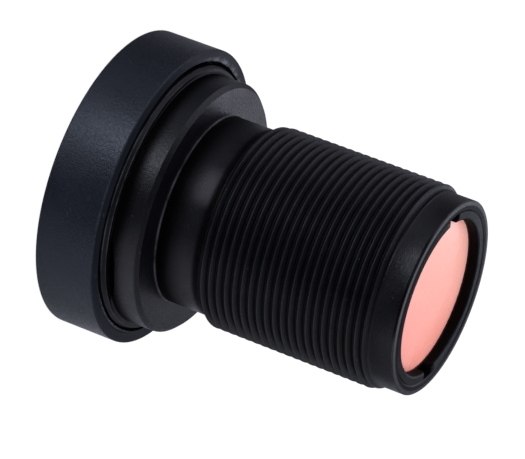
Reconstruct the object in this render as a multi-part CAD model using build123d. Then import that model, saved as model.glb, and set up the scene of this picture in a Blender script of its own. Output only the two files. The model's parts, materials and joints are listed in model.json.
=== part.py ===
from build123d import *
import os

# Fixed-focus action camera lens with a fine outside thread, standing on its dust cap.
# Millimetres. The origin is the middle of the cap's flat front face. +Z runs along the
# optical axis, from the front of the lens to its tail, where the picture forms.

# Thread, neck and tail. Radial steps are measured inwards from the thread's crests.
thread_d = 11.9            # over the crests of the M12 thread, with its usual undersize
thread_pitch = 0.5
thread_length = 9.86       # full crests, between the lead taper and the end taper
thread_crest = thread_pitch / 8
lead_taper = 0.5           # length of the taper from the neck up to the crests
end_taper = 0.48           # length of the taper from the crests down to the tail
neck_step = 0.45
neck_length = 2.66
neck_chamfer = 0.07
tail_step = 0.32
tail_length = 1.4
tail_chamfer = 0.07
tail_lip_chamfer = 0.08

# Shoulder, collar and head, each a step further out than the one behind it
shoulder_step = 1.875
shoulder_length = 1.8
shoulder_chamfer = 0.25
collar_step = 0.4
collar_length = 1.2
collar_taper = 0.12        # how far the collar's end narrows
collar_taper_length = 0.24
head_step = 0.125
head_length = 1.7
head_chamfer = 0.12
pocket_count = 2
pocket_angle = 133.0       # direction of the first spanner pocket, in degrees from +X
pocket_width = 5.0
pocket_length = 0.36
pocket_depth = 0.35

# Walls around the bores
head_wall = 0.775          # from the shoulder's side to the head's bore
neck_wall = 1.0            # from the neck's side to the bore that holds the inner glasses
tail_wall = 0.58           # from the tail's side to the filter's bore
lip_width = 0.6            # of the lip that stops the last inner glass

# Dust cap
cap_front = 0.8
cap_wall = 0.75
cap_length = 3.6
cap_clearance = 0.05
cap_rim_round = 0.08
cap_front_chamfer = 0.1
cap_mouth_length = 0.45
cap_mouth_flare = 0.07
cap_ledge_height = 0.2
cap_ledge_width = 1.0

# Clearances
glass_clearance = 0.02
ring_clearance = 0.02
cement_gap = 0.01

# Front ring and seal
ring_recess = 0.1          # from the head's front to the ring
front_ring_length = 1.3
front_ring_width = 1.98    # at its rear, beside the seal
front_ring_mouth = 0.88    # at its front, where its bore is widest
seal_section = 0.5
seal_inset = 0.15          # from the head's bore to the seal

# Glass: thickness at the edge, and how far each side bulges out past its flat edge.
# A negative bulge is a hollow.
glass_seat = 0.6           # width of the flat edge that a spacer presses on
element_1_edge = 1.6
element_1_front = 1.2
element_1_rear = -1.6
element_1_front_seat = 1.38
element_1_rear_seat = 2.68
element_2_edge = 1.5
element_2_front = 0.35
element_2_rear = -0.9
element_3_edge = 1.1
element_3_front = 0.5
element_3_rear = 0.4
element_4_edge = 1.2
element_4_front = 0.3
element_4_rear = 0.7
element_5_edge = 1.3
element_5_rear = 0.2
element_6_edge = 1.1
element_6_front = 0.4
element_6_rear = 0.35
element_7_edge = 1.3
element_7_front = -0.3
element_7_rear = 0.3

# Spacers, washers and stop, in order from the front
spacer_1_length = 1.0
spacer_2_length = 0.7
spacer_3_length = 0.8
spacer_4_length = 1.0
spacer_5_length = 0.8
spacer_6_length = 0.9
washer_thickness = 0.1
stop_thickness = 0.1
stop_d = 2.6

# Filter and its ring
filter_thickness = 0.3
filter_ring_length = 0.65
filter_ring_width = 0.55
filter_ring_recess = 0.03  # from the tail's end to the ring
ring_slot_width = 1.0
ring_slot_depth = 0.5
ring_slot_angle = 30.0     # direction of the two slots, in degrees from +X

# Places along the axis, worked out from the sizes above
head_z = cap_front + cap_ledge_height
collar_z = head_z + head_length
shoulder_z = collar_z + collar_length
neck_z = shoulder_z + shoulder_length
thread_z = neck_z + neck_length + lead_taper
taper_z = thread_z + thread_length
tail_z = taper_z + end_taper
end_z = tail_z + tail_length
front_ring_z = head_z + ring_recess
seal_z = front_ring_z + front_ring_length
front_glass_z = seal_z + seal_section
floor_z = front_glass_z + element_1_edge
filter_ring_z = end_z - filter_ring_recess - filter_ring_length
filter_z = filter_ring_z - filter_thickness

# Radii that pieces share
crest_r = thread_d / 2
neck_r = crest_r - neck_step
tail_r = crest_r - tail_step
shoulder_r = neck_r + shoulder_step
collar_r = shoulder_r + collar_step
head_r = collar_r + head_step
head_bore_r = shoulder_r - head_wall
stack_bore_r = neck_r - neck_wall
filter_bore_r = tail_r - tail_wall
stack_r = stack_bore_r - glass_clearance
clear_r = stack_r - glass_seat
filter_ring_r = filter_bore_r - ring_clearance
filter_clear_r = filter_ring_r - filter_ring_width
cap_bore_r = head_r + cap_clearance
cap_r = cap_bore_r + cap_wall


def turned(points):
    """A solid turned about the axis from a closed outline of (radius, height) points."""
    return revolve(make_face(Plane.XZ * Polyline(*points, close=True)), Axis.Z)


def ring(outer_r, inner_r, z, length):
    """A plain ring with its lower face at z."""
    return turned([(inner_r, z), (outer_r, z), (outer_r, z + length), (inner_r, z + length)])


def glass_side(z, outward, bulge, clear):
    """The edge of one side of a glass, from the axis to the end of its curved part."""
    if bulge == 0:
        return Line((0, z), (clear, z))
    half_way = clear / 2
    sphere_r = (clear**2 + bulge**2) / (2 * abs(bulge))
    drop = sphere_r - (sphere_r**2 - half_way**2) ** 0.5
    side = 1 if bulge > 0 else -1
    top = z + outward * bulge
    return ThreePointArc((0, top), (half_way, top - outward * side * drop), (clear, z))


def glass(z, edge, outer_r, front, front_clear, rear, rear_clear):
    """A round glass with its front flat at z, turned from two arcs and a straight edge."""
    front_side = glass_side(z, -1, front, front_clear)
    rear_side = glass_side(z + edge, 1, rear, rear_clear)
    rim = Polyline((front_clear, z), (outer_r, z), (outer_r, z + edge), (rear_clear, z + edge))
    axis_line = Line((0, z + edge + rear), (0, z - front))
    outline = Plane.XZ * Wire([front_side, *rim.edges(), rear_side, axis_line])
    return revolve(make_face(outline), Axis.Z)


def thread_outline():
    """Points of the thread as closed V grooves of 60 degrees, one pitch apart."""
    flank = (thread_pitch - thread_crest) / 2
    root_r = crest_r - flank * 3**0.5
    grooves = int(thread_length / thread_pitch)
    first = thread_z + (thread_length - grooves * thread_pitch + thread_crest) / 2
    points = []
    for turn in range(grooves):
        low = first + turn * thread_pitch
        points += [(crest_r, low), (root_r, low + flank), (crest_r, low + 2 * flank)]
    return points


def make_barrel(lip_z):
    """Head, collar, shoulder, neck, thread and tail in one piece, with its stepped bore."""
    outside = [
        (head_r, head_z),
        (head_r, collar_z),
        (collar_r, collar_z),
        (collar_r, shoulder_z - collar_taper_length),
        (collar_r - collar_taper, shoulder_z),
        (shoulder_r, shoulder_z),
        (shoulder_r, neck_z),
        (neck_r, neck_z),
        (neck_r, thread_z - lead_taper),
        (crest_r, thread_z),
        *thread_outline(),
        (crest_r, taper_z),
        (tail_r, tail_z),
        (tail_r, end_z),
    ]
    inside = [
        (filter_bore_r, end_z),
        (filter_bore_r, filter_z),
        (filter_clear_r, filter_z),
        (stack_bore_r - lip_width, lip_z),
        (stack_bore_r, lip_z),
        (stack_bore_r, floor_z),
        (head_bore_r, floor_z),
        (head_bore_r, head_z),
    ]
    barrel = turned(outside + inside)

    def edge_at(r, z):
        circles = barrel.edges().filter_by(GeomType.CIRCLE)
        return [e for e in circles if abs(e.radius - r) < 1e-4 and abs(e.arc_center.Z - z) < 1e-4]

    barrel = chamfer(edge_at(tail_r, end_z), tail_chamfer)
    barrel = chamfer(edge_at(neck_r, neck_z), neck_chamfer)
    barrel = chamfer(edge_at(head_r, collar_z), head_chamfer)
    barrel = chamfer(edge_at(shoulder_r, neck_z), shoulder_chamfer)
    barrel = chamfer(edge_at(filter_bore_r, end_z), tail_lip_chamfer)
    # Shallow crescent pockets for a spanner, where the shoulder meets the collar
    for k in range(pocket_count):
        turn = Rot(0, 0, pocket_angle + k * 360 / pocket_count)
        plane = Plane(origin=(shoulder_r - pocket_depth, 0, shoulder_z), x_dir=(0, 1, 0), z_dir=(1, 0, 0))
        half = pocket_width / 2
        chord = Line((-half, 0), (half, 0))
        arc = ThreePointArc((half, 0), (0, pocket_length), (-half, 0))
        crescent = make_face(plane * Wire([chord, arc]))
        barrel -= turn * extrude(crescent, pocket_depth + collar_step)
    return barrel


def make_cap():
    """Closed at the front, with a ledge that the head rests on and a flared mouth."""
    outline = [
        (0, 0),
        (cap_r, 0),
        (cap_r, cap_length),
        (cap_bore_r + cap_mouth_flare, cap_length),
        (cap_bore_r, cap_length - cap_mouth_length),
        (cap_bore_r, cap_front),
        (head_bore_r + cap_ledge_width, cap_front),
        (head_bore_r + cap_ledge_width, head_z),
        (head_bore_r, head_z),
        (head_bore_r, cap_front),
        (0, cap_front),
    ]
    cap = turned(outline)
    rims = [e for e in cap.edges().filter_by(GeomType.CIRCLE) if abs(e.radius - cap_r) < 1e-4]
    rims.sort(key=lambda e: e.arc_center.Z)
    cap = fillet([rims[-1]], cap_rim_round)
    fronts = [e for e in cap.edges().filter_by(GeomType.CIRCLE) if abs(e.radius - cap_r) < 1e-4]
    fronts.sort(key=lambda e: e.arc_center.Z)
    return chamfer([fronts[0]], cap_front_chamfer)


def make_front_group():
    """The front glass on the head's floor, its rubber seal and the ring that holds both."""
    glass_r = head_bore_r - glass_clearance
    ring_r = head_bore_r - ring_clearance
    seal_r = head_bore_r - seal_inset - seal_section / 2
    return {
        "element_1": glass(
            front_glass_z,
            element_1_edge,
            glass_r,
            element_1_front,
            glass_r - element_1_front_seat,
            element_1_rear,
            glass_r - element_1_rear_seat,
        ),
        "front_seal": Pos(0, 0, seal_z + seal_section / 2) * Torus(seal_r, seal_section / 2),
        "front_retaining_ring": turned(
            [
                (ring_r - front_ring_mouth, front_ring_z),
                (ring_r, front_ring_z),
                (ring_r, seal_z),
                (ring_r - front_ring_width, seal_z),
            ]
        ),
    }


def make_stack():
    """Glasses, spacers, washers and stop behind the front glass, each on the next."""
    pieces = {}
    z = floor_z

    def add_glass(name, edge, front, rear):
        nonlocal z
        pieces[name] = glass(z, edge, stack_r, front, clear_r, rear, clear_r)
        z += edge

    def add_ring(name, length, bore_r):
        nonlocal z
        pieces[name] = ring(stack_r, bore_r, z, length)
        z += length

    add_ring("spacer_1", spacer_1_length, clear_r)
    add_glass("element_2", element_2_edge, element_2_front, element_2_rear)
    add_ring("spacer_2", spacer_2_length, clear_r)
    add_glass("element_3", element_3_edge, element_3_front, element_3_rear)
    add_ring("baffle_washer_1", washer_thickness, clear_r)
    add_ring("spacer_3", spacer_3_length, clear_r)
    add_ring("aperture_stop", stop_thickness, stop_d / 2)
    add_ring("spacer_4", spacer_4_length, clear_r)
    add_glass("element_4", element_4_edge, element_4_front, element_4_rear)
    z += cement_gap
    add_glass("element_5", element_5_edge, -element_4_rear, element_5_rear)
    add_ring("spacer_5", spacer_5_length, clear_r)
    add_glass("element_6", element_6_edge, element_6_front, element_6_rear)
    add_ring("baffle_washer_2", washer_thickness, clear_r)
    add_ring("spacer_6", spacer_6_length, clear_r)
    add_glass("element_7", element_7_edge, element_7_front, element_7_rear)
    return pieces, z


def make_filter_group():
    """The coated filter glass in the tail, and the slotted ring that holds it."""
    filter_ring = ring(filter_ring_r, filter_clear_r, filter_ring_z, filter_ring_length)
    slots = Box(2 * filter_bore_r, ring_slot_width, ring_slot_depth)
    slot_z = filter_ring_z + filter_ring_length - ring_slot_depth / 2
    slots = Pos(0, 0, slot_z) * Rot(0, 0, ring_slot_angle) * slots
    filter_glass = Cylinder(filter_bore_r - glass_clearance, filter_thickness)
    return {
        "ir_cut_filter": Pos(0, 0, filter_z + filter_thickness / 2) * filter_glass,
        "filter_retaining_ring": filter_ring - slots,
    }


stack, lip_z = make_stack()
parts = {"dust_cap": make_cap(), "barrel": make_barrel(lip_z)}
parts.update(make_front_group())
parts.update(stack)
parts.update(make_filter_group())

os.makedirs("parts", exist_ok=True)
for name, shape in parts.items():
    shape.label = name
    export_step(shape, f"parts/{name}.step")
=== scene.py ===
import json
import math

import bmesh
import bpy
import numpy as np
from mathutils import Matrix, Vector

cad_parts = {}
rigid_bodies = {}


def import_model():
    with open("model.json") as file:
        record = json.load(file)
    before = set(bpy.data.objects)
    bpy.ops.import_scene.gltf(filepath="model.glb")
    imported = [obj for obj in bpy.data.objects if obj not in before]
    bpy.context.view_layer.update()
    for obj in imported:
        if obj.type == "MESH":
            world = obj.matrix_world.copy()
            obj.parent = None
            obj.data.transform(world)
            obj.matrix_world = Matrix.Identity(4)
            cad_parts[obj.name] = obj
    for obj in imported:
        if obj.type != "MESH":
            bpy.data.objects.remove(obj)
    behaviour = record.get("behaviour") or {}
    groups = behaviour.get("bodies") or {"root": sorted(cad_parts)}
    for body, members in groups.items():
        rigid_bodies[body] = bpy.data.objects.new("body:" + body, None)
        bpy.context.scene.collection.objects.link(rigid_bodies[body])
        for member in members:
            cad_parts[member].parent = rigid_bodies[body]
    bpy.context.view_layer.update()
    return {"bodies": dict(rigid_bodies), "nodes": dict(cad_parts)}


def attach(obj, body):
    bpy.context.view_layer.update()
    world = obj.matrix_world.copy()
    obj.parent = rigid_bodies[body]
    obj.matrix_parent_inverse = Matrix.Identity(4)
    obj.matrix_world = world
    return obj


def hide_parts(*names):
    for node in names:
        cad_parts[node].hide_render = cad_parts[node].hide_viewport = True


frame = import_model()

# A capped lens with a fine outside thread, standing on its dust cap.
# Lengths are millimetres and become metres when a mesh is made. In the finishes, radii and
# heights are millimetres too, while noise, relief, lamps and the floor are sized in metres.
# +Z runs from the cap to the tail. Angles are measured from +X towards +Y.
MM = 0.001
COLUMNS = 160          # steps round the axis
ANGLES = np.arange(COLUMNS) * 2 * np.pi / COLUMNS
MERGE = 1e-7           # points nearer than this, in metres, are one point

# Thread
CREST_R = 5.95
ROOT_R = 5.643
PITCH = 0.5
CREST_HALF = PITCH / 16
CREST_ROUND = 0.02
FIRST_CREST = 8.47     # height of a crest's middle at angle 0
LEAD_END = 8.86        # where the cone that leads in from the neck reaches the crests
TAPER_START = 18.72    # where the crests start to fall to the tail
HALF_PITCH_STEPS = [0, 0.018, 0.031, 0.045, 0.075, 0.12, 0.165, 0.195, 0.2085, 0.222]

# Barrel, from the head to the tail
HEAD_R = 7.9
HEAD_FRONT = 1.0
COLLAR_R = 7.775
COLLAR_TOP_R = 7.655
COLLAR_START = 2.7
COLLAR_TAPER = 3.66    # height where the collar starts to taper
COLLAR_END = 3.9
SHOULDER_R = 7.375
SHOULDER_END = 5.7
SHOULDER_EDGE = 0.25   # bevel at the shoulder's end
NECK_R = 5.5
NECK_END = 8.36
TAIL_R = 5.63
TAIL_START = 19.2
TAIL_END = 20.6
TAIL_EDGE = 0.07

# Bores of the barrel, from the front
HEAD_BORE_R = 6.6
HEAD_BORE_END = 4.5
STACK_BORE_R = 4.5
STACK_END = 17.51
LIP_R = 3.9            # the lip that the inner glasses rest on, which widens towards the filter
LIP_END_R = 4.48
FILTER_BORE_R = 5.05
FILTER_BORE_EDGE = 0.08

# Cap
CAP_R = 8.7
CAP_END = 3.6
CAP_WALL_R = 7.95      # inside, over the head
CAP_FLOOR = 0.8
LEDGE_R = 7.6          # the ledge that the head rests on
MOUTH_R = 8.02
MOUTH_DEPTH = 0.45
GROOVE_R = 8.09
GROOVE_END_R = 8.16

# Angles over which the mouth carries moulding flash or is off round
RAGGED_FLASH = (152, 194)
SMOOTH_FLASH = (-36, 4)
TIGHT_MOUTH = (258, 312)
WORN_MOUTH = (205, 225)

# Spanner pockets in the shoulder
POCKET_ANGLES = (133, 313)
POCKET_FLOOR_R = 7.025  # distance from the axis to the flat floor
POCKET_HALF_WIDTH = 2.5
POCKET_HEIGHT = 0.36
POCKET_BAND_END = 4.7

# Filter and its ring, which share their outer radius
FILTER_R = 5.03
FILTER_FRONT = 19.62
FILTER_REAR = 19.92
FILTER_RING_BORE_R = 4.48
FILTER_RING_END = 20.57
FILTER_RING_EDGE = (0.15, 0.1)  # width and depth of the broken inner edge
SLOT_ANGLE = 30
SLOT_HALF_WIDTH = 0.5
SLOT_FLOOR = 20.07


# Shapes

def rounded(corners, closed=True, steps=4):
    """Outline of straight runs with rounded corners, in the plane of radius and height.

    Each row of corners is radius, height and rounding. A corner's arc touches both of its runs.
    Its points are the centre plus (start sin((1 - u) w) + end sin(u w)) / sin w, where start and
    end are the arc's first and last spokes, w the angle between them and u goes from 0 to 1.
    A support point lies a little further along each run, which keeps the flats flat to the eye.
    Returns radii, heights and wear, which is highest on small outward corners.
    """
    rows = np.array(corners, float)
    points, rounding = rows[:, :2], rows[:, 2]
    back = np.roll(points, 1, 0) - points
    on = np.roll(points, -1, 0) - points
    back_length = np.hypot(*back.T)
    on_length = np.hypot(*on.T)
    back_unit = back / back_length[:, None]
    on_unit = on / on_length[:, None]
    inside = np.arccos(np.clip((back_unit * on_unit).sum(1), -1, 1))
    reach = np.minimum(rounding / np.tan(inside / 2), 0.45 * np.minimum(back_length, on_length))
    spoke = reach * np.tan(inside / 2)
    middle = back_unit + on_unit
    middle /= np.hypot(*middle.T)[:, None]
    centre = points + middle * (spoke / np.sin(inside / 2))[:, None]
    start = points + back_unit * reach[:, None] - centre
    end = points + on_unit * reach[:, None] - centre
    sweep = (np.pi - inside)[:, None, None]
    u = np.linspace(0, 1, steps + 1)[None, :, None]
    spokes = (start[:, None] * np.sin((1 - u) * sweep) + end[:, None] * np.sin(u * sweep)) / np.sin(sweep)
    arc = centre[:, None] + spokes
    free_back = back_length - reach - np.roll(reach, 1)
    free_on = on_length - reach - np.roll(reach, -1)
    lead_in = points + back_unit * (reach + np.minimum(0.04, 0.3 * free_back))[:, None]
    lead_out = points + on_unit * (reach + np.minimum(0.04, 0.3 * free_on))[:, None]
    path = np.concatenate([lead_in[:, None], arc, lead_out[:, None]], 1)
    following = np.roll(points, -1, 0)
    area = (points[:, 0] * following[:, 1] - following[:, 0] * points[:, 1]).sum()
    outward = (on[:, 0] * back[:, 1] - on[:, 1] * back[:, 0]) * area > 0
    wear = np.zeros(path.shape[:2])
    wear[:, 1:-1] = (outward * np.clip(1.1 - 2.5 * rounding, 0.2, 1))[:, None]
    if not closed:
        path = np.concatenate([points[:1], path[1:-1].reshape(-1, 2), points[-1:]])
        wear = np.concatenate([[0], wear[1:-1].ravel(), [0]])
    path = path.reshape(-1, 2)
    return path[:, 0], path[:, 1], wear.ravel()


def turned(r, z, wear, closed=False):
    """Surface of revolution: the point at angle a is (r cos a, r sin a, z).

    closed joins its last row to its first.
    """
    if closed:
        r, z, wear = (np.append(v, v[0]) for v in (r, z, wear))
    r, z, wear, angle = np.broadcast_arrays(r[:, None], z[:, None], wear[:, None], ANGLES[None, :])
    return np.stack([r * np.cos(angle), r * np.sin(angle), z], -1), wear


def grid_faces(rows, climb=0):
    """Four-sided faces between neighbours of a grid that closes round the axis.

    climb is how many rows the grid climbs in one turn, as a thread does: the last column of a
    row then meets the first column of the row that is climb rows further up.
    """
    row, column = np.meshgrid(np.arange(rows - 1 - climb), np.arange(COLUMNS), indexing="ij")
    past = (column + 1) // COLUMNS
    beside = (row + past * climb) * COLUMNS + (column + 1) % COLUMNS
    here = row * COLUMNS + column
    return np.stack([here, beside, beside + COLUMNS, here + COLUMNS], -1).reshape(-1, 4)


def solid(name, skins):
    """One closed mesh from grids that share their rims, with every face pointing outwards.

    Each skin is points, wear and faces. Points that coincide become one, which stitches the rims
    and closes the poles, and the sign of the enclosed volume tells whether the faces turn round.
    """
    points = np.concatenate([skin[0].reshape(-1, 3) for skin in skins]) * MM
    wear = np.concatenate([skin[1].ravel() for skin in skins])
    first = np.cumsum([0] + [skin[1].size for skin in skins[:-1]])
    faces = np.concatenate([skin[2] + offset for skin, offset in zip(skins, first)])
    mesh = bpy.data.meshes.new(name)
    mesh.from_pydata(points.tolist(), [], faces.tolist())
    mesh.attributes.new("wear", "FLOAT", "POINT").data.foreach_set("value", wear.astype(np.float32))
    shell = bmesh.new()
    shell.from_mesh(mesh)
    bmesh.ops.remove_doubles(shell, verts=shell.verts, dist=MERGE)
    bmesh.ops.recalc_face_normals(shell, faces=shell.faces)
    if shell.calc_volume(signed=True) < 0:
        bmesh.ops.reverse_faces(shell, faces=shell.faces)
    shell.to_mesh(mesh)
    shell.free()
    mesh.polygons.foreach_set("use_smooth", np.ones(len(mesh.polygons), bool))
    made = bpy.data.objects.new(name, mesh)
    bpy.context.scene.collection.objects.link(made)
    return made


def lathe(name, corners, steps=4, closed=True):
    """A solid turned from one rounded outline, closed on itself or at both ends on the axis."""
    r, z, wear = rounded(corners, closed, steps)
    points, wear = turned(r, z, wear, closed)
    return solid(name, [(points, wear, grid_faces(len(points)))])


def smaller(a, b, blend):
    """The smaller of a and b, with the corner between them rounded.

    It is half of a + b less the root of (a - b) squared + blend squared.
    """
    return (a + b - np.sqrt((a - b) ** 2 + blend**2)) / 2


def thread_skin():
    """Right-handed outside thread, as rows that climb one pitch a turn.

    Height is the row's own height plus pitch times the part of the turn. Radius falls from the
    crest along flanks of 60 degrees, by the distance to the crest's middle times the root of 3,
    down to a flat root, and the two end cones cut it off. Rows past the ends lie on the end circles.
    """
    half = np.array(HALF_PITCH_STEPS)
    steps = np.concatenate([half, [PITCH / 2], PITCH - half[:0:-1]])
    per_turn = len(steps)
    turns = int((TAIL_START - NECK_END) / PITCH) + 5
    from_crest = np.minimum(steps, PITCH - steps)
    flank = CREST_R - (from_crest - CREST_HALF) * math.sqrt(3)
    profile = -smaller(-smaller(flank, CREST_R, CREST_ROUND), -ROOT_R, CREST_ROUND)
    start = FIRST_CREST - 2 * PITCH
    height = (start + np.arange(turns)[:, None] * PITCH + steps).ravel()
    z = height[:, None] + PITCH * ANGLES[None, :] / (2 * np.pi)
    z = np.clip(z, NECK_END, TAIL_START)
    r = np.tile(profile, turns)[:, None] + 0 * z
    lead = NECK_R + (z - NECK_END) * (CREST_R - NECK_R) / (LEAD_END - NECK_END)
    taper = TAIL_R + (TAIL_START - z) * (CREST_R - TAIL_R) / (TAIL_START - TAPER_START)
    r = np.minimum(r, np.minimum(lead, taper))
    crest = np.exp(-((from_crest / 0.03) ** 2))
    wear = 0.15 * np.tile(crest, turns)[:, None] * (r > ROOT_R + 0.2)
    return np.stack([r * np.cos(ANGLES), r * np.sin(ANGLES), z], -1), wear, grid_faces(len(r), per_turn)


def pocket_skin():
    """Band of the shoulder's side, with shallow pockets whose floors are flat.

    Seen from outside a pocket is a crescent: its height over the collar is the root of R squared
    less y squared, less R - h, for the circle through its two tips and its top. The floor's
    radius is its distance from the axis over the cosine of the angle from the pocket's middle.
    """
    middles = np.radians(POCKET_ANGLES)[:, None]
    off = np.abs((ANGLES - middles + np.pi) % (2 * np.pi) - np.pi).min(0)
    across = SHOULDER_R * np.sin(np.minimum(off, np.pi / 4))
    arc_r = (POCKET_HALF_WIDTH**2 + POCKET_HEIGHT**2) / (2 * POCKET_HEIGHT)
    height = np.sqrt(np.maximum(arc_r**2 - across**2, 0)) - (arc_r - POCKET_HEIGHT)
    height = np.maximum(height, 0.02)
    floor_r = np.minimum(SHOULDER_R, POCKET_FLOOR_R / np.cos(np.minimum(off, np.pi / 4)))
    depth = SHOULDER_R - floor_r
    # How deep each row lies, as a share of the pocket's depth, and how high, as a share of its height
    deep = np.array([0, 0.5, 0.97, 1, 1, 1, 1, 1, 1, 0.97, 0.5, 0.06, 0, 0, 0])
    high = np.array([0, 0, 0, 0.04, 0.2, 0.4, 0.6, 0.8, 0.95, 1, 1, 1, 1.03, 1.1, 1.5])
    z = COLLAR_END + np.minimum(high[:, None] * height, (POCKET_BAND_END - COLLAR_END) * 0.98)
    r = SHOULDER_R - deep[:, None] * depth
    z = np.concatenate([z, np.full((1, COLUMNS), POCKET_BAND_END)])
    r = np.concatenate([r, np.full((1, COLUMNS), SHOULDER_R)])
    wear = np.zeros_like(r)
    wear[11:13] = 0.7 * (depth > 0.02)  # the two rows at a pocket's upper edge
    return np.stack([r * np.cos(ANGLES), r * np.sin(ANGLES), z], -1), wear, grid_faces(len(r))


def make_barrel():
    """Head, collar, shoulder, neck, thread and tail in one piece, with the stepped bore inside."""
    rear = [
        (NECK_R, NECK_END, 0), (NECK_R, SHOULDER_END, 0.07),
        (SHOULDER_R - SHOULDER_EDGE, SHOULDER_END, 0.05), (SHOULDER_R, SHOULDER_END - SHOULDER_EDGE, 0.05),
        (SHOULDER_R, POCKET_BAND_END, 0),
    ]
    front = [
        (SHOULDER_R, COLLAR_END, 0), (COLLAR_TOP_R, COLLAR_END, 0.02),
        (COLLAR_R, COLLAR_TAPER, 0.05), (COLLAR_R, COLLAR_START, 0.05),
        (HEAD_R, COLLAR_START, 0.12), (HEAD_R, HEAD_FRONT, 0.06),
        (HEAD_BORE_R, HEAD_FRONT, 0.06), (HEAD_BORE_R, HEAD_BORE_END, 0.03),
        (STACK_BORE_R, HEAD_BORE_END, 0.04), (STACK_BORE_R, STACK_END, 0.03),
        (LIP_R, STACK_END, 0.03), (LIP_END_R, FILTER_FRONT, 0.03),
        (FILTER_BORE_R, FILTER_FRONT, 0.03), (FILTER_BORE_R, TAIL_END - FILTER_BORE_EDGE, 0.01),
        (FILTER_BORE_R + FILTER_BORE_EDGE, TAIL_END, 0.01), (TAIL_R - TAIL_EDGE, TAIL_END, 0.012),
        (TAIL_R, TAIL_END - TAIL_EDGE, 0.02), (TAIL_R, TAIL_START, 0),
    ]
    skins = [thread_skin(), pocket_skin()]
    for run in (rear, front):
        points, wear = turned(*rounded(run, closed=False, steps=6))
        skins.append((points, wear, grid_faces(len(points))))
    return solid("barrel_threaded", skins)


def stretch(start, end, soft):
    """1 at the angles from start to end, in degrees, and 0 elsewhere, with soft ends."""
    off = np.abs((np.degrees(ANGLES) - (start + end) / 2 + 180) % 360 - 180)
    return 1 / (1 + np.exp((off - (end - start) / 2) / soft))


def make_cap():
    """Moulded cap: a cup with a rounded rim, a flared mouth and a ledge for the head.

    The mouth's inner edge carries moulding flash: a thin smooth lip over one stretch, and a
    ragged one over another, whose reach is a sum of sines of the angle. The end face is paler
    beside the ragged one, and the smooth one's edge a little paler. A lip is the edge drawn inwards,
    with a groove sunk behind it. The mouth is a little tight over a third stretch and a little worn
    over a fourth.
    """
    flat = CAP_END - 0.001  # every other corner of the end face is a hair lower, so that none is straight
    corners = [
        (0, 0, 0), (CAP_R, 0, 0.1), (CAP_R, CAP_END, 0.08), (CAP_R - 0.4, flat, 0.01),
        (GROOVE_END_R, CAP_END, 0.01), (GROOVE_R, flat, 0.01), (MOUTH_R, CAP_END, 0.02),
        (CAP_WALL_R, CAP_END - MOUTH_DEPTH, 0.05), (CAP_WALL_R, CAP_FLOOR, 0.05), (LEDGE_R, CAP_FLOOR, 0.03),
        (LEDGE_R, HEAD_FRONT, 0.03), (HEAD_BORE_R, HEAD_FRONT, 0.03), (HEAD_BORE_R, CAP_FLOOR, 0.03),
        (0, CAP_FLOOR, 0),
    ]
    r, z, wear = rounded(corners, closed=False, steps=6)
    points, wear = turned(r, z, 0.03 * wear)
    degrees = np.degrees(ANGLES)
    waves = 0.25 * np.sin(0.61 * degrees + 1) + 0.2 * np.sin(1.37 * degrees) + 0.2 * np.sin(2.3 * degrees + 2)
    ragged = stretch(*RAGGED_FLASH, 4) * np.clip(0.6 + waves, 0, 1)
    smooth = stretch(*SMOOTH_FLASH, 3)
    tight = stretch(*TIGHT_MOUTH, 9)
    worn = stretch(*WORN_MOUTH, 6)
    at_edge = np.exp(-(((r - MOUTH_R) / 0.03) ** 2) - ((z - CAP_END) / 0.03) ** 2)[:, None]
    behind = (np.abs(r - GROOVE_R) < 0.012)[:, None] * (z > CAP_END - 0.02)[:, None]
    radial = np.stack([np.cos(ANGLES), np.sin(ANGLES), 0 * ANGLES], -1)
    reach = (0.05 * ragged + 0.11 * smooth + 0.08 * tight - 0.06 * worn) * at_edge
    points = points - reach[..., None] * radial
    points[..., 2] -= 0.13 * smooth * behind + 0.03 * ragged * at_edge
    on_face = (z > CAP_END - 0.05) & (r > MOUTH_R + 0.03)
    pale_band = (np.exp(-(((r - MOUTH_R - 0.09) / 0.16) ** 2)) * on_face)[:, None]
    wear = np.maximum(wear, np.maximum(ragged * pale_band, 0.35 * smooth * at_edge))
    return solid("dust_cap_moulded", [(points, wear, grid_faces(len(points)))])


def make_filter_ring():
    """Thin ring with two spanner slots across it.

    One column stands just before each wall of a slot and one just after it, in place of as many
    of the even ones. Inside a slot the top of the ring comes down to the slot's floor.
    """
    edge_width, edge_depth = FILTER_RING_EDGE
    corners = [
        (FILTER_RING_BORE_R, FILTER_REAR, 0.02), (FILTER_R, FILTER_REAR, 0.02),
        (FILTER_R, FILTER_RING_END, 0.04), (FILTER_RING_BORE_R + edge_width, FILTER_RING_END, 0.03),
        (FILTER_RING_BORE_R, FILTER_RING_END - edge_depth, 0.03),
    ]
    r, z, wear = rounded(corners)
    r, z, wear = (np.append(v, v[0]) for v in (r, z, wear))
    middle_r = (FILTER_R + FILTER_RING_BORE_R) / 2
    half = math.asin(SLOT_HALF_WIDTH / middle_r)
    walls = np.radians(SLOT_ANGLE) + np.array([-half, half, np.pi - half, np.pi + half])
    just = 0.004  # radians
    edges = np.sort(np.concatenate([walls - just, walls + just]))
    fill = np.setdiff1d(np.arange(COLUMNS), np.searchsorted(ANGLES, edges) % COLUMNS)
    angle = np.sort(np.concatenate([edges, ANGLES[fill[: COLUMNS - len(edges)]]]))
    from_slot = np.abs((angle - np.radians(SLOT_ANGLE) + np.pi / 2) % np.pi - np.pi / 2)
    cut = (from_slot < half)[None, :]
    lowered = (SLOT_FLOOR - FILTER_REAR) / (FILTER_RING_END - FILTER_REAR)
    z = np.where(cut, FILTER_REAR + (z[:, None] - FILTER_REAR) * lowered, z[:, None])
    r, wear = np.broadcast_arrays(r[:, None], z)[0], np.broadcast_arrays(wear[:, None], z)[0]
    points = np.stack([r * np.cos(angle), r * np.sin(angle), z], -1)
    return solid("filter_ring_slotted", [(points, wear, grid_faces(len(points)))])


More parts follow.
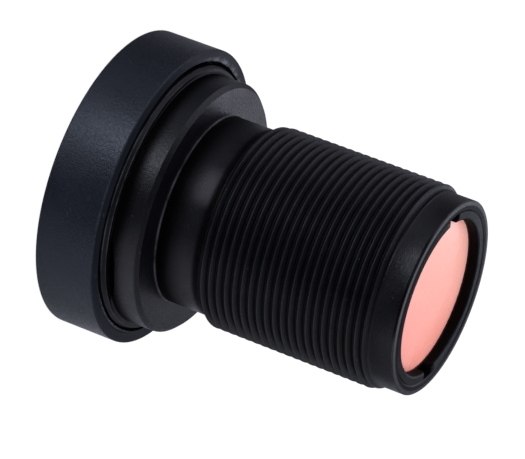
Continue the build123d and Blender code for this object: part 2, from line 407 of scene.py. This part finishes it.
def make_glass(name, z, edge, outer_r, front, front_clear, rear, rear_clear):
    """Round glass with two spherical faces and a ground edge.

    A face's height at radius r is the root of R squared less r squared, less R less the bulge,
    which is the sphere through the rim of the clear part and the middle of the bulge. z is where
    the glass starts and edge its thickness at the rim.
    """
    def face(bulge, clear):
        r = clear * np.sin(np.linspace(0, np.pi / 2, 15))
        if bulge == 0:
            return r, 0 * r
        sphere = (clear**2 + bulge**2) / (2 * abs(bulge))
        return r, np.sign(bulge) * (np.sqrt(sphere**2 - r**2) - sphere + abs(bulge))

    bevel = 0.06
    beside = 0.02  # a support point lies this far beside each corner
    front_r, front_rise = face(front, front_clear)
    rear_r, rear_rise = face(rear, rear_clear)
    end = z + edge
    rim = np.array([
        (front_clear + beside, z), (outer_r - bevel - beside, z), (outer_r - bevel, z),
        (outer_r, z + bevel), (outer_r, z + bevel + beside), (outer_r, end - bevel - beside),
        (outer_r, end - bevel), (outer_r - bevel, end), (outer_r - bevel - beside, end),
        (rear_clear + beside, end),
    ])
    r = np.concatenate([front_r, rim[:, 0], rear_r[::-1]])
    height = np.concatenate([z - front_rise, rim[:, 1], end + rear_rise[::-1]])
    points, wear = turned(r, height, 0 * r)
    return solid(name, [(points, wear, grid_faces(len(points)))])


# Finishes

class Value:
    """A socket of a node tree. Arithmetic on it adds Math nodes to the same tree."""

    def __init__(self, nodes, socket):
        self.nodes, self.socket = nodes, socket

    def math(self, operation, *terms):
        return self.nodes.node("ShaderNodeMath", {"operation": operation}, dict(enumerate(terms)))

    def __add__(self, other):
        return self.math("ADD", self, other)

    def __sub__(self, other):
        return self.math("SUBTRACT", self, other)

    def __mul__(self, other):
        return self.math("MULTIPLY", self, other)

    def __truediv__(self, other):
        return self.math("DIVIDE", self, other)

    def __pow__(self, other):
        return self.math("POWER", self, other)

    def __radd__(self, other):
        return self.math("ADD", other, self)

    def __rsub__(self, other):
        return self.math("SUBTRACT", other, self)

    def __rmul__(self, other):
        return self.math("MULTIPLY", other, self)


class Nodes:
    """The nodes of one material, or of the world."""

    def __init__(self, owner):
        owner.use_nodes = True
        self.owner, self.tree = owner, owner.node_tree
        self.tree.nodes.clear()

    def node(self, kind, settings=None, inputs=None, output=0):
        """Adds a node, sets its settings first and then its sockets, and returns one output."""
        made = self.tree.nodes.new(kind)
        for key, value in (settings or {}).items():
            setattr(made, key, value)
        for key, value in (inputs or {}).items():
            if isinstance(value, Value):
                self.tree.links.new(value.socket, made.inputs[key])
            else:
                made.inputs[key].default_value = value
        return Value(self, made.outputs[output] if made.outputs else None)

    def place(self):
        """Position on the piece, in metres."""
        return self.node("ShaderNodeTexCoord", output="Object")

    def wear(self):
        return self.node("ShaderNodeAttribute", {"attribute_name": "wear"}, output="Fac")

    def split(self, vector):
        """The three parts of a vector."""
        made = self.node("ShaderNodeSeparateXYZ", inputs={0: vector})
        return [Value(self, s) for s in made.socket.node.outputs]

    def join(self, x, y, z):
        return self.node("ShaderNodeCombineXYZ", inputs={0: x, 1: y, 2: z})

    def noise(self, vector, size, detail=2.0, roughness=0.5):
        """Noise whose blobs are about size metres across."""
        sockets = {"Vector": vector, "Scale": 1 / size, "Detail": detail, "Roughness": roughness}
        return self.node("ShaderNodeTexNoise", inputs=sockets)

    def between(self, value, low, high, start=0.0, end=1.0):
        """start where value is below low, end above high, and smooth between."""
        sockets = {"Value": value, "From Min": low, "From Max": high, "To Min": start, "To Max": end}
        return self.node("ShaderNodeMapRange", {"interpolation_type": "SMOOTHSTEP"}, sockets)

    def band(self, value, rise, full, fall, gone):
        """1 where value is from full to fall, 0 below rise and above gone, and smooth between."""
        return self.between(value, rise, full) * self.between(value, fall, gone, 1, 0)

    def blend(self, share, a, b):
        """Colour a where share is 0 and b where it is 1."""
        return self.node("ShaderNodeMix", {"data_type": "RGBA"}, {0: share, 6: a, 7: b}, 2)

    def bump(self, height, distance):
        return self.node("ShaderNodeBump", inputs={"Height": height, "Distance": distance, "Strength": 1.0})

    def shader(self, **sockets):
        """A Principled shader. Underscores in the names stand for spaces."""
        inputs = {key.replace("_", " "): value for key, value in sockets.items()}
        return self.node("ShaderNodeBsdfPrincipled", inputs=inputs)

    def mixed(self, share, a, b):
        """Shader a where share is 0 and b where it is 1."""
        return self.node("ShaderNodeMixShader", inputs={0: share, 1: a, 2: b})

    def done(self, shader):
        """Ends the material with this shader and returns it."""
        self.node("ShaderNodeOutputMaterial", inputs={"Surface": shader})
        return self.owner


def colour(r, g, b):
    return (r, g, b, 1.0)


def finish(name):
    return Nodes(bpy.data.materials.new(name))


def turned_metal(name, dark, light, sheen, marks, bare, end_from=None, deep=None, rough=None, pale=None):
    """Turned aluminium, anodised black: fine turning rings, blasted grain, soft clouds in the
    dye, and edges that are rubbed a little towards bare metal.

    sheen is the roughness, marks how strong the rings are and bare how far an edge is rubbed.
    An end face above the height end_from is rough from its last cut. deep, rough and pale work
    out, from the nodes, the radius and height in millimetres and the sines of the angle, how much
    painted shade turns the metal to a near-black matt shader, how much rougher the metal is, and
    how much painted light pales the colour.
    """
    n = finish(name)
    place = n.place()
    x, y, z = n.split(place)
    radius = (x * x + y * y) ** 0.5
    height = z / MM
    spot = (n, radius / MM, height, y / radius * -1, x / radius)
    # Noise that hardly changes round the axis makes turning rings
    rings = n.noise(n.join(radius + x * 0.012, y * 0.012, z + x * 0.012), 0.00005, 1.0)
    grain = n.noise(place, 0.00007, 2.0, 0.6)
    speckle = n.noise(place, 0.00015, 2.0, 0.6) - 0.5
    cloud = n.noise(place, 0.0019, 3.0, 0.55)
    dust = n.between(n.noise(place, 0.00022, 1.0), 0.74, 0.8)
    rubbed = n.wear() * n.between(n.noise(place, 0.0011, 3.0, 0.5), 0.3, 0.75)
    base = n.blend(n.between(cloud, 0.3, 0.7), colour(*dark), colour(*light))
    base = n.blend(dust * 0.3, base, colour(0.04, 0.04, 0.045))
    base = n.blend(rubbed * bare, base, colour(0.30, 0.30, 0.32))
    # Painted light: where pale is high the colour is lightened, for painted glints and lit sides
    if pale:
        base = n.blend(pale(*spot), base, colour(0.10, 0.10, 0.108))
    relief = n.bump(rings * marks + grain * 2.5 + speckle * 4.0, 0.0000035)
    rougher = rough(*spot) if rough else 0.0
    surface = n.shader(
        Base_Color=base,
        Metallic=rubbed * bare,
        Roughness=n.between(cloud, 0.25, 0.75, sheen - 0.04, sheen + 0.05) + speckle * 0.4 + rougher,
        Specular_IOR_Level=0.52,
        Normal=relief,
    )
    if end_from:
        end_face = n.shader(
            Base_Color=n.blend(grain, base, colour(0.012, 0.012, 0.015)),
            Roughness=n.between(grain, 0.3, 0.7, 0.42, 0.6),
            Specular_IOR_Level=0.3,
            Normal=relief,
        )
        surface = n.mixed(n.between(height, end_from, end_from + 0.05), surface, end_face)
    # Painted shade: where deep is high the metal turns to a near-black, matt shader
    if deep:
        painted_shade_shader = n.shader(
            Base_Color=n.blend(grain, colour(0.0003, 0.0003, 0.0004), colour(0.0006, 0.0006, 0.0008)),
            Roughness=n.between(grain, 0.3, 0.7, 0.6, 0.75),
            Specular_IOR_Level=0.03,
            Normal=relief,
        )
        surface = n.mixed(deep(*spot), surface, painted_shade_shader)
    return n.done(surface)


def barrel_painted_shade(n, r, z, front, below):
    """Painted shade at the foot of the shoulder and in its pockets, at both ends of the neck, in the
    thread's root, under the tail's edge, on the tail's face and on its low side.

    front is 1 on the camera's side and -1 behind, and below is 1 on the side that is low in the
    picture and -1 on the high one.
    """
    side = n.between(front, 0, 1, 1, 0)
    lift = side * 0.25 + n.between(below, 0.3, 0.5, 0, 0.22)
    on_shoulder = n.between(z, COLLAR_END - 0.01, COLLAR_END + 0.01)
    shoulder = on_shoulder * n.between(z + lift, 4.2, 4.95, 1, 0) * n.between(below, 0.1, 0.35, 0.96, 0.86)
    pocket_top = COLLAR_END + POCKET_HEIGHT
    in_pocket = n.between(r, SHOULDER_R - 0.095, SHOULDER_R - 0.035, 1, 0)
    pocket = on_shoulder * in_pocket * n.between(z, pocket_top - 0.01, pocket_top + 0.09, 1, 0)
    neck_foot = n.band(z, SHOULDER_END + 0.07, SHOULDER_END + 0.13, 6.0, 7.6) * (0.95 - side * 0.3)
    neck_end = n.band(z, 7.9, 8.25, NECK_END - 0.02, NECK_END + 0.06) * 0.75
    in_root = n.between(r, ROOT_R + 0.017, ROOT_R + 0.177, 0.6, 0)
    root = n.band(z, 8.4, 8.5, 19.0, 19.15) * in_root
    on_tail = n.band(z, 19.1, 19.3, TAIL_END - 0.06, TAIL_END - 0.04)
    tail = on_tail * n.band(below, 0.5, 0.85, 0.88, 0.97) * 0.42
    by_edge = n.band(z, 20.39, 20.45, TAIL_END - 0.06, TAIL_END - 0.03)
    under_edge = by_edge * n.between(front, 0.8, 0.92, 0, 0.85)
    face = n.between(z, TAIL_END - 0.03, TAIL_END) * n.between(r, 5.32, 5.37, 1, 0) * (0.48 + front * 0.2)
    return shoulder + pocket + neck_foot + neck_end + root + tail + under_edge + face


def barrel_painted_light(n, r, z, front, below):
    """Painted light: a glint on the tail's edge, a highlight at the neck's end, and paler sides, most the low
    one.
    """
    low = n.between(front, 0, 0.35)
    on_edge = n.between(z, TAIL_END - 0.04, TAIL_END - 0.01) * n.between(r, 5.34, 5.4, 0, 0.9)
    edge = on_edge * n.between(below, 0.4, 0.95, 1, 0.4)
    neck = n.band(z, 6.1, 6.7, 8.0, 8.3) * low * n.between(below, 0.25, 0.8, 0.02, 0.15)
    neck_painted_highlight = n.band(z, 6.6, 7.9, 8.0, 8.3) * n.between(front, 0.88, 0.97) * n.between(below, -0.15, 0.02, 0.2, 0)
    on_shoulder = n.band(z, 4.1, 5.0, SHOULDER_END, SHOULDER_END + 0.1)
    on_shoulder = on_shoulder * n.between(r, SHOULDER_R - 0.075, SHOULDER_R - 0.015)
    shoulder = on_shoulder * low * n.between(below, 0.1, 0.95, 0, 0.15)
    both_sides = n.between(below, 0.2, 0.6, 0, 0.05) + n.between(below, -0.8, -0.45, 0.06, 0)
    thread = n.band(z, 8.4, 8.6, 18.8, 19.0) * both_sides
    return edge + neck + neck_painted_highlight + shoulder + thread


def barrel_rough(n, r, z, front, below):
    """The thread is rougher than the rest."""
    return n.band(z, 8.3, 8.7, 18.6, 18.9) * 0.16


def ring_painted_shade(n, r, z, front, below):
    """Painted shade: dark on the wall of the bore and in the slots, less so near the wall's foot, and
    a little on the top, most on the camera's side.
    """
    top = n.between(z, FILTER_RING_END - 0.08, FILTER_RING_END - 0.03)
    return (1 - top) * n.between(z, 19.98, 20.06, 0.55, 0.94) + top * (0.34 + front * 0.28)


def moulded_plastic():
    """Black plastic from a spark-eroded mould: an even fine grain, a few scuffs, and paler where wear is
    high.

    The side gets smoother towards the rim, and the rim's end face is duller.
    """
    n = finish("cap_plastic_moulded")
    place = n.place()
    x, y, z = n.split(place)
    height = z / MM
    grain = n.noise(place, 0.00008, 3.0, 0.7)
    speckle = n.noise(place, 0.00016, 2.0, 0.6) - 0.5
    cloud = n.noise(place, 0.0026, 3.0, 0.5)
    scuff_line = n.noise(n.join(x * 0.35 + z, y * 0.35 - z * 0.6, z * 1.4), 0.00035, 3.0, 0.6)
    scuff = n.between(scuff_line, 0.66, 0.74) * n.between(n.noise(place, 0.003, 1.0), 0.5, 0.62)
    dust = n.between(n.noise(place, 0.00025, 1.0), 0.75, 0.82)
    base = n.blend(n.between(cloud, 0.3, 0.7), colour(0.0036, 0.0046, 0.0080), colour(0.0050, 0.0062, 0.0104))
    base = n.blend(scuff * 0.35 + dust * 0.4, base, colour(0.06, 0.062, 0.07))
    torn = n.between(n.noise(place, 0.00022, 2.0, 0.6), 0.4, 0.62, 0.3, 1.5)
    base = n.blend(n.wear() * torn, base, colour(0.15, 0.15, 0.175))
    relief = n.bump(grain + speckle + scuff * 0.4, 0.000012)
    smoother = n.between(height, 0, CAP_END - 0.2, 0.05, -0.05)
    side = n.shader(
        Base_Color=base,
        Roughness=n.between(cloud, 0.3, 0.7, 0.33, 0.38) + smoother + speckle * 0.4,
        Specular_IOR_Level=0.64,
        Specular_Tint=colour(0.84, 0.92, 1.0),
        Normal=relief,
    )
    end_face = n.shader(
        Base_Color=n.blend(0.12, base, colour(0.028, 0.033, 0.042)),
        Roughness=n.between(cloud, 0.3, 0.7, 0.56, 0.64),
        Specular_IOR_Level=0.3,
        Normal=relief,
    )
    return n.done(n.mixed(n.between(height, CAP_END - 0.08, CAP_END - 0.01), side, end_face))


def coated_filter():
    """Thin glass whose coating mirrors salmon pink, with a painted reflection paler towards -X, and specks.
    """
    n = finish("filter_salmon_coating")
    place = n.place()
    x, y, z = n.split(place)
    # Painted reflection: the coating is paler towards -X and redder towards +X
    painted_reflection_share = n.between(x, -0.0045, 0.0045)
    cloud = n.noise(place, 0.0016, 2.0)
    speck = n.between(n.noise(place, 0.00012, 1.0), 0.76, 0.82)
    base = n.blend(painted_reflection_share, colour(0.99, 0.484, 0.389), colour(0.97, 0.344, 0.271))
    base = n.blend(n.between(cloud, 0.35, 0.65) * 0.1, base, colour(0.99, 0.52, 0.42))
    base = n.blend(speck * 0.15, base, colour(0.6, 0.2, 0.17))
    return n.done(n.shader(
        Base_Color=base,
        Roughness=n.between(cloud, 0.3, 0.7, 0.22, 0.3),
        Coat_Weight=0.15,
        Coat_Roughness=0.1,
        Normal=n.bump(cloud, 0.000002),
    ))


def clear_glass():
    """Polished optical glass with a faint green cast and a trace of haze."""
    n = finish("optical_glass_clear")
    haze = n.noise(n.place(), 0.0012, 3.0)
    return n.done(n.shader(
        Base_Color=n.blend(n.between(haze, 0.3, 0.7), colour(0.93, 0.97, 0.95), colour(0.96, 0.98, 0.97)),
        Roughness=n.between(haze, 0.4, 0.8, 0.0, 0.02),
        Transmission_Weight=1.0,
        IOR=1.55,
    ))


def dull_black(name, tone, rough, grain_size, height):
    """Dull black with a fine grain, for rubber and for film."""
    n = finish(name)
    place = n.place()
    grain = n.noise(place, grain_size, 4.0, 0.6)
    cloud = n.noise(place, 0.0012, 2.0)
    pale = tuple(1.6 * c for c in tone)
    return n.done(n.shader(
        Base_Color=n.blend(n.between(cloud, 0.3, 0.7), colour(*tone), colour(*pale)),
        Roughness=rough + (grain - 0.5) * 0.15,
        Normal=n.bump(grain, height),
    ))


barrel_black = turned_metal(
    "black_anodised", dark=(0.0015, 0.0016, 0.0024), light=(0.0022, 0.0024, 0.0035),
    sheen=0.37, marks=0.8, bare=0.12, end_from=TAIL_END - 0.05,
    deep=barrel_painted_shade, rough=barrel_rough, pale=barrel_painted_light,
)
ring_black = turned_metal(
    "ring_black", dark=(0.0010, 0.0012, 0.0016), light=(0.0018, 0.0020, 0.0026),
    sheen=0.46, marks=0.8, bare=0.1, deep=ring_painted_shade,
)
spacer_black = turned_metal(
    "spacer_black", dark=(0.004, 0.004, 0.0042), light=(0.006, 0.006, 0.0062), sheen=0.6, marks=1.0, bare=0.1,
)
cap_black = moulded_plastic()
salmon = coated_filter()
glass_clear = clear_glass()
seal_black = dull_black("seal_rubber", (0.012, 0.012, 0.012), rough=0.7, grain_size=0.00008, height=0.00001)
film_black = dull_black("washer_film", (0.007, 0.007, 0.007), rough=0.6, grain_size=0.00005, height=0.000004)


# Pieces

def fit_piece(piece, node, body, material):
    """Puts a finished piece in a CAD node's place."""
    piece.data.materials.append(material)
    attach(piece, body)
    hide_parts(node)


fit_piece(make_barrel(), "barrel", "lens", barrel_black)
fit_piece(make_cap(), "dust_cap", "cap", cap_black)
fit_piece(make_filter_ring(), "filter_retaining_ring", "lens", ring_black)
filter_disc = lathe(
    "filter_coated",
    [
        (0, FILTER_FRONT, 0), (FILTER_R, FILTER_FRONT, 0.04),
        (FILTER_R, FILTER_REAR, 0.04), (0, FILTER_REAR, 0),
    ],
    closed=False,
)
fit_piece(filter_disc, "ir_cut_filter", "lens", salmon)
HEAD_FIT_R = HEAD_BORE_R - 0.02  # outer radius of what sits in the head's bore
front_glass = make_glass(
    "front_glass", z=2.9, edge=1.6, outer_r=HEAD_FIT_R, front=1.2, front_clear=5.2, rear=-1.6, rear_clear=3.9,
)
fit_piece(front_glass, "element_1", "lens", glass_clear)
front_ring = lathe(
    "front_ring_stepped",
    [
        (5.70, 1.1, 0.03), (HEAD_FIT_R, 1.1, 0.05), (HEAD_FIT_R, 2.4, 0.04), (4.60, 2.4, 0.03),
        (4.78, 2.2, 0.02), (4.86, 2.2, 0.02), (5.04, 1.95, 0.02), (5.12, 1.95, 0.02),
        (5.27, 1.7, 0.02), (5.35, 1.7, 0.02), (5.50, 1.45, 0.02), (5.58, 1.45, 0.02),
    ],
    steps=2,
)
fit_piece(front_ring, "front_retaining_ring", "lens", barrel_black)

STACK_R = STACK_BORE_R - 0.02  # outer radius of the inner glasses
CLEAR_R = STACK_R - 0.6        # radius of their clear part
# Node, front, thickness at the rim, bulge of the front face and bulge of the rear face
INNER_GLASSES = (
    ("element_2", 5.5, 1.5, 0.35, -0.9),
    ("element_3", 7.7, 1.1, 0.5, 0.4),
    ("element_4", 10.8, 1.2, 0.3, 0.7),
    ("element_5", 12.01, 1.3, -0.7, 0.2),
    ("element_6", 14.11, 1.1, 0.4, 0.35),
    ("element_7", 16.21, 1.3, -0.3, 0.3),
)
for node, z, edge, front, rear in INNER_GLASSES:
    glass = make_glass(f"{node}_polished", z, edge, STACK_R, front, CLEAR_R, rear, CLEAR_R)
    fit_piece(glass, node, "lens", glass_clear)

KEPT_NODES = {
    "front_seal": seal_black,
    "aperture_stop": film_black,
    "baffle_washer_1": film_black,
    "baffle_washer_2": film_black,
}
KEPT_NODES.update({f"spacer_{k}": spacer_black for k in range(1, 7)})
for node, material in KEPT_NODES.items():
    kept = frame["nodes"][node]
    if not kept.material_slots:
        kept.data.materials.append(material)
    for place in kept.material_slots:
        place.material = material


# Camera, floor and light

COOL = (0.82, 0.84, 1.0, 1.0)  # colour of the lamps and of what the lens mirrors

# The camera's place and the directions of its right, its top and its back, fitted to the photograph
FOCAL_LENGTH = 245.09
EYE = Vector((-0.081, -184.42, 82.67))
RIGHT = Vector((-0.35243, 0.34563, 0.86967))
UP = Vector((-0.93584, -0.13016, -0.32751))
BACK = Vector((0, -0.92930, 0.36933))

camera = bpy.data.objects.new("camera", bpy.data.cameras.new("camera"))
camera.data.lens = FOCAL_LENGTH
camera.data.clip_start = 0.01
camera.matrix_world = Matrix.Translation(EYE * MM) @ Matrix((RIGHT, UP, BACK)).transposed().to_4x4()
bpy.context.scene.collection.objects.link(camera)
bpy.context.scene.camera = camera

# The floor is white to the camera and keeps a faint shadow. The photograph's lens didn't stand on
# this floor, so the floor isn't mirrored in the lens and lets the lamps below it through. From
# below it is clear, so that the cap's front can be looked at.
floor_n = finish("floor_white")
is_camera = floor_n.node("ShaderNodeLightPath", output="Is Camera Ray")
from_below = floor_n.node("ShaderNodeNewGeometry", output="Backfacing")
matt = floor_n.node("ShaderNodeBsdfDiffuse", inputs={"Color": colour(0.97, 0.97, 0.97)})
white = floor_n.node("ShaderNodeEmission", inputs={"Color": colour(1, 1, 1), "Strength": 1.04})
clear = floor_n.node("ShaderNodeBsdfTransparent")
top_side = floor_n.node("ShaderNodeMixShader", inputs={0: is_camera * 0.86, 1: matt, 2: white})
floor_n.node(
    "ShaderNodeOutputMaterial",
    inputs={"Surface": floor_n.node("ShaderNodeMixShader", inputs={0: from_below, 1: top_side, 2: clear})},
)
FLOOR_REACH = 3.0      # metres from the lens to each side
FLOOR_GAP = 0.02 * MM  # the floor lies this little below the cap, so that the two don't share a plane
SQUARE = ((-1, -1), (1, -1), (1, 1), (-1, 1))
floor_corners = [(x * FLOOR_REACH, y * FLOOR_REACH, -FLOOR_GAP) for x, y in SQUARE]
floor_mesh = bpy.data.meshes.new("floor")
floor_mesh.from_pydata(floor_corners, [], [(0, 1, 2, 3)])
floor_mesh.materials.append(floor_n.owner)
floor = bpy.data.objects.new("floor", floor_mesh)
bpy.context.scene.collection.objects.link(floor)
floor.parent = frame["bodies"]["cap"]
floor.visible_glossy = False
floor.visible_shadow = False

world = bpy.data.worlds.new("studio")
bpy.context.scene.world = world
world.cycles.sampling_method = "NONE"
sky = Nodes(world)
is_glossy = sky.node("ShaderNodeLightPath", output="Is Glossy Ray")
east, north, height = sky.split(sky.node("ShaderNodeTexCoord", output="Generated"))
west = east * -1
# Mirrored in the lens, the backdrop behind it is pale and the room in front is dim
low_sides = sky.between(east, 0.2, 0.8, 0, 0.1) + sky.between(west, 0.3, 0.8, 0, 0.06)
high_west = sky.between(west, 0.3, 0.7) * sky.between(height, -0.2, 0.2, 0, 0.2)
behind = sky.between(north, 0.3, 0.8, 0, 0.1) + sky.between(north * 0.93 + height * 0.37, 0.86, 0.97, 0, 0.26)
behind_east = sky.between(east, 0.05, 0.3) * sky.between(north, 0.2, 0.6, 0, 0.12)
grazing = sky.between(north, 0.6, 0.95) * sky.between(height, -0.3, -0.1, 1, 0)
grazing = grazing * sky.between(east, -0.1, 0.3, 0.17, 0.33)
window = sky.between(west, 0.4, 0.75) * sky.between(height, 0.2, 0.5, 0, 0.5)
corner = sky.between(west, 0.2, 0.5) * sky.between(north, 0.3, 0.6) * sky.between(height, 0.3, 0.6, 0, 0.35)
high_east = sky.between(east, 0.25, 0.6) * sky.between(height, 0.3, 0.6, 0, 0.22)
mirrored = 0.02 + low_sides + high_west + behind + behind_east + grazing + window + corner + high_east
strength = is_glossy * mirrored + (1 - is_glossy) * 0.75
tint = sky.blend(is_glossy, colour(1, 1, 1), COOL)
sky.node(
    "ShaderNodeOutputWorld",
    inputs={"Surface": sky.node("ShaderNodeBackground", inputs={"Color": tint, "Strength": strength})},
)


def softbox(name, away, distance, width, height, radiance, aside=0):
    """Area lamp that faces the lens from the direction away, moved aside along its own width.

    Its power is the radiance times pi times its area. All sizes are in metres.
    """
    lamp = bpy.data.lights.new(name, "AREA")
    lamp.shape = "RECTANGLE"
    lamp.size, lamp.size_y = width, height
    lamp.energy = radiance * math.pi * width * height
    lamp.color = COOL[:3]
    box = bpy.data.objects.new(name, lamp)
    turn = away.to_track_quat("Z", "Y")
    box.location = Vector((0, 0, 0.01)) + away * distance + turn @ Vector((aside, 0, 0))
    box.rotation_mode = "QUATERNION"
    box.rotation_quaternion = turn
    box.visible_camera = False
    bpy.context.scene.collection.objects.link(box)
    return box


def toward(azimuth, elevation):
    """Unit vector away from the lens. Azimuth 0 is the camera's side, and 90 is towards -X."""
    a, e = math.radians(azimuth), math.radians(elevation)
    return Vector((-math.sin(a) * math.cos(e), -math.cos(a) * math.cos(e), math.sin(e)))


LOW = -21.7  # elevation from which a lamp's image, mirrored by the upright sides, meets the camera
softbox("key", toward(26, LOW), distance=0.3, width=0.095, height=0.25, radiance=3.0)
softbox("side", toward(65, LOW), distance=0.3, width=0.2, height=0.3, radiance=0.2)
softbox("rim", toward(-85, LOW), distance=0.3, width=0.4, height=0.3, radiance=0.32)
# A card close behind the lens, mostly on its -X side, lights the faces that look along +Z
softbox("card", toward(180, 37), distance=0.045, width=0.018, height=0.062, radiance=0.75, aside=0.013)
# Light from above the camera for the filter. The black surfaces don't mirror it
front = softbox("front", toward(0, 45), distance=0.3, width=0.3, height=0.3, radiance=3.3)
front.visible_glossy = False

bpy.context.scene.view_settings.view_transform = "Standard"
